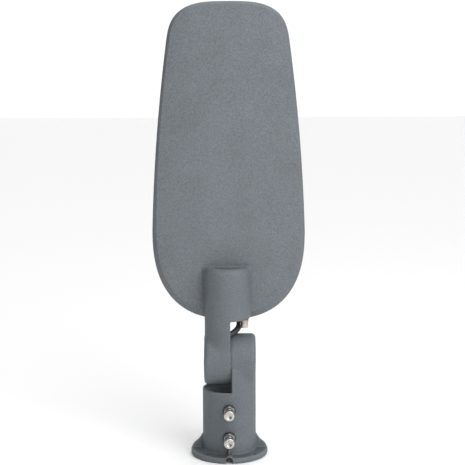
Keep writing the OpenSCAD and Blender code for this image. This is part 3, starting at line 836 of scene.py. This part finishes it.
outline = head_outline()


def back_bevel(z):
    """Width of the bevel round the flat back, broader towards the bottom."""
    return 3.9 * MM + 3.6 * MM * max(0, min(1, (0.400 - z) / 0.190)) ** 2


def head_slice(inset, level, above, corner):
    """The part of the head's outline above or below a level, moved inwards, with round corners.
    The inset and the corners' radius are in millimetres."""
    return rounded(clipped(inset_outline(outline, inset * MM), level, above), corner * MM)


SHANK_RADIUS = {"bracket_screws": 3, "pane_frame_screws": 1.5, "cover_screws": 2, "led_board_screws": 1.5,
                "driver_screws": 1.5, "inner_earth_screw": 2}


def holes_for(node, low_y, high_y, extra=0.05, sides=20):
    """Cuts along +Y for the screws of a node, each a little wider than its shank."""
    radius = (SHANK_RADIUS[node] + extra) * MM
    return [rod((centre.x, low_y, centre.z), Y_AXIS, radius, high_y - low_y, sides)
            for _, _, centre in islands(node)]


def add_housing():
    """The head's cast housing: flat bevelled back, drafted sides, driver bulge and both cavities."""
    levels = [(0.0, lambda z: back_bevel(z) + 0.5 * MM), (0.06 * MM, lambda z: back_bevel(z) + 0.2 * MM),
              (0.30 * MM, back_bevel), (6.4 * MM, lambda z: 0.18 * back_bevel(z)),
              (7.4 * MM, lambda z: 0.07 * back_bevel(z)), (8.6 * MM, lambda z: 0.015 * back_bevel(z)),
              (10 * MM, 0.0), (14 * MM, 0.3 * MM), (19.7 * MM, 1.1 * MM), (20.5 * MM, 1.6 * MM)]
    shell = skin([standing(inset_outline(outline, inset), BACK_Y + depth) for depth, inset in levels])
    drafts = ((RIM_Y - 8 * MM, 2.5), (RIM_Y, 2.7), (BULGE_Y - 12 * MM, 3.2), (BULGE_Y - 1 * MM, 4.1),
              (BULGE_Y, 4.9))
    bulge = skin([standing(spaced(head_slice(inset, FLOOR_Z, False, 7), 360), y) for y, inset in drafts])
    led_cavity = plate(head_slice(14, FLOOR_Z + 9 * MM, True, 6), WALL_Y, RIM_Y + 2 * MM)
    pane_seat = plate(head_slice(10, FLOOR_Z + 11 * MM, True, 4), RIM_Y - 5 * MM, RIM_Y + 3 * MM)
    driver_cavity = plate(head_slice(8.5, FLOOR_Z - 4 * MM, False, 5), WALL_Y, BULGE_Y + 3 * MM)
    posts = []
    for _, _, centre in islands("cover_screws"):
        turns = [2 * pi * k / 32 for k in range(32)]
        ring = [(centre.x + 5 * MM * cos(a), centre.z + 5 * MM * sin(a)) for a in turns]
        posts.append(plate(clipped(ring, FLOOR_Z - MM, False), WALL_Y - MM, BULGE_Y))
    for _, _, centre in islands("driver_screws"):
        posts.append(rod((centre.x, WALL_Y - MM, centre.z), Y_AXIS, 4 * MM, 3.5 * MM, 32))
    holes = []
    for node, face, below, above in (
            ("bracket_screws", 0, 0, 20), ("pane_frame_screws", RIM_Y, 9, 3),
            ("cover_screws", BULGE_Y, 14, 2), ("driver_screws", WALL_Y, 1, 4),
            ("inner_earth_screw", WALL_Y, 2, 3), ("led_board_screws", WALL_Y, 2, 3)):
        holes += holes_for(node, face - below * MM, face + above * MM)
    holes.append(rod((duct_x, 0, duct_z), Y_AXIS, duct_r, 20 * MM, 32))
    holes.append(rod(at(60, 15, 292), Z_AXIS, 3 * MM, 30 * MM, 24))
    shape = carved(shell, (JOIN, bulge), (CUT, led_cavity), (CUT, pane_seat), (CUT, driver_cavity),
                   (JOIN, merged(posts)), (CUT, merged(holes)))
    add_part("head_housing_casting", shape, head_coat, "head_housing", 32)


add_housing()


# ------------------------------------------------------------------------ screws

def hexagon(flats, cap=1.0):
    """Radius of a hexagon of a size across flats, cut to a circle."""
    return lambda a: min(cap, flats / 2 / cos((a + pi / 6) % (pi / 3) - pi / 6))


def threaded(radius, pitch, height):
    """Radius of a thread's section at a height."""
    depth = 0.55 * pitch
    return lambda a: radius - depth * abs(2 * ((height / pitch - a / (2 * pi)) % 1) - 1)


def shank(radius, pitch, start, end, per_turn=6):
    """Levels of a threaded shank with a chamfered tip."""
    steps = int((end - start - pitch) / pitch * per_turn)
    levels = [(start, radius - 0.8 * pitch), (start + 0.4 * pitch, radius - 0.5 * pitch)]
    for k in range(steps + 1):
        height = start + pitch + (end - start - pitch) * k / steps
        levels.append((height, threaded(radius, pitch, height)))
    return levels


def cap_screw(radius, length, head_r, head_h, flats, pitch, knurls=30):
    """Socket head cap screw: tip at 0, thread along +Z, knurled head with a hexagon socket."""
    top = length + head_h

    def knurled(a):
        return head_r - 0.035 * head_r * (1 + cos(knurls * a)) / 2

    levels = shank(radius, pitch, 0, length - 0.05 * MM)
    levels += [(length, radius), (length, head_r - 0.35 * MM), (length + 0.3 * MM, head_r - 0.12 * MM),
               (length + 0.5 * MM, knurled), (top - 1.3 * MM, knurled),
               (top - 1.0 * MM, head_r - 0.10 * MM), (top - 0.45 * MM, head_r - 0.22 * MM),
               (top - 0.1 * MM, head_r - 0.62 * MM), (top, head_r - 1.0 * MM),
               (top, flats * 0.64), (top - 0.5 * MM, hexagon(flats)),
               (top - 0.52 * head_h, hexagon(flats)), (top - 0.54 * head_h, flats * 0.40),
               (top - 0.64 * head_h, flats * 0.05)]
    return turned(levels, 4 * knurls)


def pan_screw(radius, length, head_r, head_h, sides=48):
    """Pan head screw: tip at 0, thread along +Z, domed head with a hexagon socket."""
    top = length + head_h
    flats = head_r * 0.9
    levels = [(0, radius * 0.72), (radius * 0.3, radius), (length, radius), (length, head_r * 0.94),
              (length + 0.12 * head_h, head_r), (length + 0.35 * head_h, head_r)]
    for k in range(1, 6):
        a = pi / 2 * k / 6
        levels.append((length + 0.35 * head_h + 0.65 * head_h * sin(a), head_r * (0.62 + 0.38 * cos(a))))
    levels += [(top, flats * 0.60), (top - 0.08 * head_h, hexagon(flats)),
               (top - 0.6 * head_h, hexagon(flats)), (top - 0.66 * head_h, flats * 0.1)]
    return turned(levels, sides)


def nut(flats, height, bore, sides=96):
    """Hexagon nut with both corners of its faces turned off."""
    low, high = flats / 2 * 0.955, flats / 2 * 1.155
    levels = [(0.5 * MM, bore), (0, bore + 0.5 * MM)]
    for k in range(5):
        levels.append((0.13 * height * k / 4, hexagon(flats, low + (high - low) * k / 4)))
    for k in range(5):
        levels.append((height * (1 - 0.13 * (4 - k) / 4), hexagon(flats, high + (low - high) * k / 4)))
    levels += [(height, bore + 0.5 * MM), (height - 0.5 * MM, bore)]
    return turned(levels, sides, closed=True)


def washer(outer, inner, thick, edge, sides=72):
    """Flat washer with its rims broken."""
    return turned([(0, inner + edge), (0, outer - edge), (edge * 0.4, outer - edge * 0.25), (edge, outer),
                   (thick - edge, outer), (thick - edge * 0.4, outer - edge * 0.25), (thick, outer - edge),
                   (thick, inner + edge), (thick - edge, inner), (edge, inner)], sides, closed=True)


def spring_washer(outer, inner, thick, sides=60):
    """Split washer of a square wire, cut on a slant."""
    edge = 0.18 * thick
    section = [(inner, edge), (inner + edge, 0), (outer - edge, 0), (outer, edge),
               (outer, thick - edge), (outer - edge, thick), (inner + edge, thick), (inner, thick - edge)]
    gap, slant = radians(5), radians(9)
    rings = []
    for k in range(sides + 1):
        ring = []
        for radius, height in section:
            lean = slant * (height / thick - 0.5)
            a = gap + lean + (2 * pi - 2 * gap) * k / sides
            ring.append(Vector((radius * cos(a), radius * sin(a), height)))
        rings.append(ring)
    return skin(rings)


def seated(shape, box, direction, middle=None):
    """A shape built along +Z, turned to a direction and set on the near end of a box. It stands in
    the box's middle, or in line with another point where one is given."""
    low, high, centre = box
    origin = Vector(centre if middle is None else middle)
    for i in range(3):
        if direction[i]:
            origin[i] = low[i] if direction[i] > 0 else high[i]
    return aimed(shape, origin, direction)


def add_turned(node, direction, material, make, middle=None, suffix="_turned", angle=30):
    """One piece in place of all solids of a CAD node. make gets each solid's outer radius and length."""
    shapes = []
    for box in islands(node):
        size = box[1] - box[0]
        radius = (size.z if direction.x else size.x) / 2
        shapes.append(seated(make(radius, abs(size.dot(direction))), box, direction, middle))
    add_part(node + suffix, merged(shapes), material, node, angle)


def add_clamp_screws():
    """The two M8 socket head screws that clamp the pole, with their washers and jam nuts."""
    for node in ("clamp_screw_upper", "clamp_screw_lower"):
        add_turned(node, -Y_AXIS, stainless,
                   lambda r, length: cap_screw(4 * MM, length - 8 * MM, r, 8 * MM, 6 * MM, 1.25 * MM))
    add_turned("clamp_washers", -Y_AXIS, black_zinc, lambda r, thick: washer(r, 4.1 * MM, thick, 0.25 * MM))
    add_turned("clamp_jam_nuts", -Y_AXIS, dark_zinc, lambda r, high: nut(13 * MM, high, 4.1 * MM), angle=25)


def add_knuckle_hardware():
    """The M10 bolt through both discs, with its washers, spring washer and nut."""
    axis = Vector((0, 0, tilt_z))
    bore, under_head = 5.1 * MM, 53.8 * MM
    add_turned("knuckle_bolt", X_AXIS, stainless, lambda r, length: cap_screw(
        5 * MM, under_head, 8 * MM, length - under_head, 8 * MM, 1.5 * MM, 36), axis)
    add_turned("knuckle_washers", X_AXIS, stainless, lambda r, thick: washer(r, bore, thick, 0.3 * MM), axis)
    add_turned("knuckle_spring_washer", X_AXIS, stainless,
               lambda r, thick: spring_washer(r, bore, thick), axis, "_wound")
    add_turned("knuckle_nut", X_AXIS, stainless, lambda r, high: nut(17 * MM, high, bore), axis, angle=25)


def small_cap_screw(head_r, length):
    """An M6 socket head screw, with its length over all."""
    return cap_screw(3 * MM, length - 6 * MM, head_r, 6 * MM, 5 * MM, 1 * MM, 24)


def add_bonding_screw():
    """The M6 earth bonding screw under the boss, with its split and flat washers."""
    middle = centre_of("bonding_screw")
    bore = 3.1 * MM
    add_turned("bonding_screw", -Z_AXIS, stainless, small_cap_screw, middle)
    add_turned("bonding_washer", Z_AXIS, stained_zinc,
               lambda r, thick: washer(r, bore, thick, 0.25 * MM), middle)
    add_turned("bonding_spring_washer", Z_AXIS, stained_zinc,
               lambda r, thick: spring_washer(r, bore, thick), middle)


def add_housing_screws():
    """All screws along +Y: bracket, frame, cover, board, driver and inner earth screws."""
    add_turned("bracket_screws", Y_AXIS, stainless, small_cap_screw)
    for node, head_h, material in (("pane_frame_screws", 2.0, stainless), ("cover_screws", 2.4, stainless),
                                   ("led_board_screws", 1.0, stainless), ("driver_screws", 1.8, stainless),
                                   ("inner_earth_screw", 2.6, brass)):
        add_turned(node, Y_AXIS, material, lambda r, length: pan_screw(
            SHANK_RADIUS[node] * MM, length - head_h * MM, r, head_h * MM))


add_clamp_screws()
add_knuckle_hardware()
add_bonding_screw()
add_housing_screws()


# --------------------------------------------------------------- lead seal and cores

def ribbed_seal(radius, length):
    """A round rubber seal with three ribs."""
    levels = [(0, radius * 0.78), (0.4 * MM, radius * 0.9)]
    for k in range(3):
        base = (0.8 + 1.7 * k) * MM
        levels += [(base, radius * 0.93), (base + 0.35 * MM, radius), (base + 0.8 * MM, radius),
                   (base + 1.2 * MM, radius * 0.93)]
    levels += [(length - 0.3 * MM, radius * 0.93), (length, radius * 0.86)]
    return turned(levels, 64)


def ferrule():
    """A crimped ferrule along +Z, with its collar over the insulation."""
    levels = [(-1.2 * MM, 0.95 * MM), (-0.3 * MM, 1.2 * MM), (0, 1.2 * MM), (0.2 * MM, 0.78 * MM)]
    for k in range(13):
        squeeze = 0.10 * MM if k % 2 else 0.02 * MM
        levels.append(((0.8 + 0.55 * k) * MM,
                       lambda a, squeeze=squeeze: 0.8 * MM - squeeze * (1 + cos(4 * a))))
    levels.append((8 * MM, 0.66 * MM))
    return turned(levels, 32)


def add_cores():
    """The lead's three bare-ended cores and their crimped ferrules."""
    end = lead_route[-1]
    crimps = []
    for node, side, lift, tip, material in (
            ("lead_core_line", -1.6, -0.9, at(-10, 171, 1.7), brown_core),
            ("lead_core_neutral", 1.6, -0.9, at(9, 173, 1.7), blue_core),
            ("lead_core_earth", 0, 1.9, at(0, 177, 1.7), earth_core)):
        curve = smooth_route([end + at(side, -1.5, lift), end + at(side, 4, lift),
                              end + at(2.2 * side, 14, 0.6 * lift - 0.6), tip - at(0, 8, 0), tip], 8)
        add_part(node + "_insulation", swept(curve, 1.35 * MM, 16), material, node, 38)
        crimps.append(aimed(ferrule(), tip, Y_AXIS))
    add_part("lead_ferrules_crimped", merged(crimps), tin, "lead_ferrules")


add_turned("lead_seal", Z_AXIS, rubber, ribbed_seal, suffix="_moulded")
add_cores()


# ------------------------------------------------------------- light side and inside

def soft_block(low, high, edge, segments=3):
    """A moulded box with rounded edges."""
    piece = shade(add_piece("block", *block(low, high)))
    modify(piece, "BEVEL", width=edge, segments=segments, limit_method="ANGLE")
    return shape_of(freeze(piece))


def frame_of(outer, inner, low_y, high_y, edge=0.0):
    """A flat ring between two outlines."""
    return carved(plate(outer, low_y, high_y, edge), (CUT, plate(inner, low_y - MM, high_y + MM)))


def add_boss_gasket():
    """Rubber sheet between the boss and the head, cut for its screws and the duct."""
    low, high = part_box("boss_gasket")
    sheet = rounded([(low.x, low.z), (low.x, high.z), (high.x, high.z), (high.x, low.z)], 6 * MM)
    holes = holes_for("bracket_screws", -5 * MM, 15 * MM, 0.4, 32)
    holes.append(rod((duct_x, -5 * MM, duct_z), Y_AXIS, duct_r, 20 * MM, 32))
    shape = carved(plate(sheet, low.y, high.y), (CUT, merged(holes)))
    add_part("boss_gasket_sheet", shape, rubber, "boss_gasket")


def add_led_board():
    """White board with its LEDs and their phosphor domes."""
    low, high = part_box("led_board")
    board = carved(plate(head_slice(18, low.z, True, 5), low.y, high.y),
                   (CUT, merged(holes_for("led_board_screws", low.y - MM, high.y + MM, 0.1))))
    add_part("led_board_plate", board, white_mask, "led_board")
    packages, domes = [], []
    for low, high, centre in islands("led_chips"):
        half = (high.x - low.x) / 2
        height = high.y - low.y
        square = rounded([(-half, -half), (-half, half), (half, half), (half, -half)], 0.4 * MM)
        packages.append(skin([
            [Vector((centre.x + x * t, low.y + y * height, centre.z + z * t)) for x, z in square]
            for t, y in ((1, 0), (1, 0.55), (0.94, 0.7), (0.78, 0.7), (0.72, 0.5))]))
        dome = [(y * height, half * r) for y, r in
                ((0.45, 0.70), (0.62, 0.68), (0.82, 0.52), (0.95, 0.26), (1, 0.04))]
        domes.append(aimed(turned(dome, 24), (centre.x, low.y, centre.z), Y_AXIS))
    add_part("led_packages", merged(packages), ceramic, "led_chips")
    add_part("led_phosphor_domes", merged(domes), phosphor, "led_chips", 50)


def add_lens_array():
    """One clear moulding with an oblong lens over each LED, hollowed out below."""
    low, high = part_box("lens_array")
    rise = high.y - low.y
    levels = [(0.3 * MM, 7.4 * MM)]
    for k in range(9):
        t = pi / 2 * k / 9
        levels.append((1.2 * MM + (rise - 1.2 * MM) * sin(t),
                       lambda a, t=t: 7.8 * MM * cos(t) * (0.90 + 0.10 * cos(2 * a))))
    cup = [(-1 * MM, 3.6 * MM), (0.6 * MM, 3.5 * MM), (1.2 * MM, 2.7 * MM), (1.5 * MM, 1.2 * MM)]
    places = [(centre.x, low.y, centre.z) for _, _, centre in islands("led_chips")]
    domes = [aimed(turned(levels, 40), place, Y_AXIS) for place in places]
    hollows = [aimed(turned(cup, 24), place, Y_AXIS) for place in places]
    sheet = plate(head_slice(20, low.z, True, 5), low.y, low.y + 1.6 * MM, 0.4 * MM)
    add_part("lens_array_moulding", carved(sheet, (JOIN, merged(domes)), (CUT, merged(hollows))),
             clear_optic, "lens_array", 35)


def add_pane():
    """Clear pane, its gasket and the cast frame that holds it, with a flared opening."""
    low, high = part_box("clear_pane")
    sheet = head_slice(10.3, low.z, True, 4)
    add_part("clear_pane_sheet", plate(sheet, low.y, high.y, 0.4 * MM), clear_glass, "clear_pane")
    low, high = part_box("pane_gasket")
    inner = head_slice(14, low.z + 3.7 * MM, True, 5)
    add_part("pane_gasket_ring", frame_of(sheet, inner, low.y, high.y, 0.2 * MM), rubber, "pane_gasket")
    low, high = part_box("pane_frame")
    opening = spaced(head_slice(17, FLOOR_Z + 18 * MM, True, 9), 400)
    flare = inset_outline(opening, -1.2 * MM)
    funnel = skin([standing(opening, low.y - MM), standing(opening, high.y - 1.2 * MM),
                   standing(flare, high.y + 0.01 * MM), standing(flare, high.y + MM)])
    rim = plate(spaced(head_slice(2.5, low.z, True, 5), 480), low.y, high.y, 1.0 * MM)
    holes = holes_for("pane_frame_screws", low.y - MM, high.y + MM)
    shape = carved(rim, (CUT, funnel), (CUT, merged(holes)))
    add_part("pane_frame_casting", shape, bracket_coat, "pane_frame")


def vent_body(cap, length):
    """A screwed-in vent: ribbed stem, lobed cap and a recess with a pin."""
    stem = 5.95 * MM

    def lobed(a):
        return cap - 0.35 * MM * (1 + cos(12 * a))

    levels = [(0, 5.2 * MM), (0.6 * MM, stem)]
    for k in range(5):
        levels += [((1.4 + 1.1 * k) * MM, stem), ((1.9 + 1.1 * k) * MM, 5.55 * MM)]
    levels += [(length - 3.5 * MM, stem), (length - 3.5 * MM, cap - 0.9 * MM), (length - 3.2 * MM, lobed),
               (length - 0.9 * MM, lobed), (length - 0.25 * MM, cap - 1.1 * MM), (length, cap - 1.6 * MM),
               (length, 3.6 * MM), (length - 0.8 * MM, 3.4 * MM), (length - 0.8 * MM, 1.2 * MM),
               (length - 0.3 * MM, 0.9 * MM), (length - 0.3 * MM, 0.1 * MM)]
    return turned(levels, 96)


def add_driver_cover():
    """Cast cover over the driver's room, with a grooved field, its gasket and the breather vent."""
    low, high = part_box("driver_cover")
    cover = plate(spaced(head_slice(4.7, high.z, False, 7), 400), low.y, high.y, 1.4 * MM)
    field = spaced(head_slice(18, high.z - 17 * MM, False, 10), 320)
    bottom = high.y - 0.9 * MM
    within = inset_outline(field, 1.6 * MM)
    groove = skin([standing(field, high.y + MM), standing(field, bottom),
                   standing(within, bottom), standing(within, high.y + MM)], closed=True)
    vent = centre_of("breather_vent")
    holes = holes_for("cover_screws", low.y - MM, high.y + MM)
    holes.append(rod((vent.x, low.y - MM, vent.z), Y_AXIS, 6.05 * MM, 6 * MM, 40))
    shape = carved(cover, (CUT, groove), (CUT, merged(holes)))
    add_part("driver_cover_casting", shape, bracket_coat, "driver_cover")
    low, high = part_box("cover_gasket")
    outer = head_slice(5, high.z, False, 7)
    inner = head_slice(8.5, high.z - 3.5 * MM, False, 5)
    add_part("cover_gasket_ring", frame_of(outer, inner, low.y, high.y), rubber, "cover_gasket")
    add_turned("breather_vent", Y_AXIS, black_plastic, vent_body, suffix="_moulded")


def add_driver():
    """LED driver: finned case on a slotted foot plate."""
    low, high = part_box("driver")
    left, right = low.x + 12 * MM, high.x - 12 * MM
    case = soft_block(Vector((left, low.y, low.z)), Vector((right, high.y, high.z)), 2.4 * MM)
    foot = soft_block(low, Vector((high.x, low.y + 1.5 * MM, high.z)), 0.4 * MM, 2)
    grooves = []
    for k in range(7):
        z = low.z + (k + 1) / 8 * (high.z - low.z)
        grooves.append(block((left + 9 * MM, high.y - 0.9 * MM, z - 0.7 * MM),
                             (right - 9 * MM, high.y + MM, z + 0.7 * MM)))
    for x in (left + 5 * MM, right - 5 * MM):
        grooves.append(block((x - 0.4 * MM, high.y - 0.6 * MM, low.z - MM),
                             (x + 0.4 * MM, high.y + MM, high.z + MM)))
    holes = holes_for("driver_screws", low.y - MM, low.y + 3 * MM, 0.1)
    shape = carved(case, (JOIN, foot), (CUT, merged(grooves)), (CUT, merged(holes)))
    add_part("driver_case", shape, white_case, "driver")


def add_surge_protector():
    """Potted surge protector with a ribbed face."""
    low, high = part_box("surge_protector")
    slots = [block((low.x + 3 * MM, high.y - 0.8 * MM, low.z + (6 + 4.2 * k) * MM),
                   (high.x - 3 * MM, high.y + MM, low.z + (7.6 + 4.2 * k) * MM)) for k in range(5)]
    case = carved(soft_block(low, high, 1.6 * MM), (CUT, merged(slots)))
    add_part("surge_protector_case", case, black_plastic, "surge_protector")


def add_terminal_block():
    """Three-way terminal block with its clamp screws down in their wells."""
    low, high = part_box("terminal_block")
    cuts, screws = [], []
    wells = [low.x + (6 + 11 * k) * MM for k in range(3)]
    for x in wells:
        cuts.append(rod((x, high.y - 8 * MM, low.z + 10 * MM), Y_AXIS, 2.2 * MM, 10 * MM, 32))
        cuts.append(rod((x, high.y - 10 * MM, low.z - 4 * MM), Z_AXIS, 1.7 * MM, 12 * MM, 24))
        head = pan_screw(1.2 * MM, 2 * MM, 1.9 * MM, 1.2 * MM)
        screws.append(aimed(head, (x, high.y - 9 * MM, low.z + 10 * MM), Y_AXIS))
    for x in (wells[0] + 5.5 * MM, wells[1] + 5.5 * MM):
        cuts.append(block((x - 0.6 * MM, high.y - 5 * MM, low.z - MM),
                          (x + 0.6 * MM, high.y + MM, high.z + MM)))
    body = carved(soft_block(low, high, 1.0 * MM), (CUT, merged(cuts)))
    add_part("terminal_block_body", body, ivory_plastic, "terminal_block")
    add_part("terminal_screws", merged(screws), brass, "terminal_block")


def add_inner_wires():
    """The mains lead from the boss to the terminals, and the twisted pair to the LED board."""
    curve = smooth_route([at(*p) for p in [
        (12.2, -1.2, 183.8), (12.2, -1.2, 193), (12.2, 1, 199), (12.2, 7, 201), (9.2, 14.5, 200.5),
        (-2, 22.5, 198), (-20, 23.5, 194), (-36, 18.5, 192.5), (-41, 14.5, 198), (-41, 14.5, 203.4)]], 8)
    add_part("inner_mains_sheath", swept(curve, 2.6 * MM, 24), rubber, "inner_mains_wires", 38)
    curve = smooth_route([at(*p) for p in [
        (36.5, 24.5, 262), (46, 24.5, 266), (58, 16, 280), (60, 15, 296), (60, 15, 308),
        (60, 14, 315.5)]], 16)
    travelled = 0.0
    red, black = [], []
    for i, p in enumerate(curve):
        ahead = (curve[min(len(curve) - 1, i + 1)] - curve[max(0, i - 1)]).normalized()
        across = ahead.cross(Y_AXIS).normalized()
        other = ahead.cross(across)
        travelled += (p - curve[max(0, i - 1)]).length
        a = 2 * pi * travelled / (14 * MM)
        offset = 0.78 * MM * (cos(a) * across + sin(a) * other)
        red.append(p + offset)
        black.append(p - offset)
    for name, line, material in (("led_wire_red", red, red_wire), ("led_wire_black", black, black_wire)):
        add_part(name, swept(line, 0.76 * MM, 12), material, "inner_led_wires", 38)


add_boss_gasket()
add_led_board()
add_lens_array()
add_pane()
add_driver_cover()
add_driver()
add_surge_protector()
add_terminal_block()
add_inner_wires()
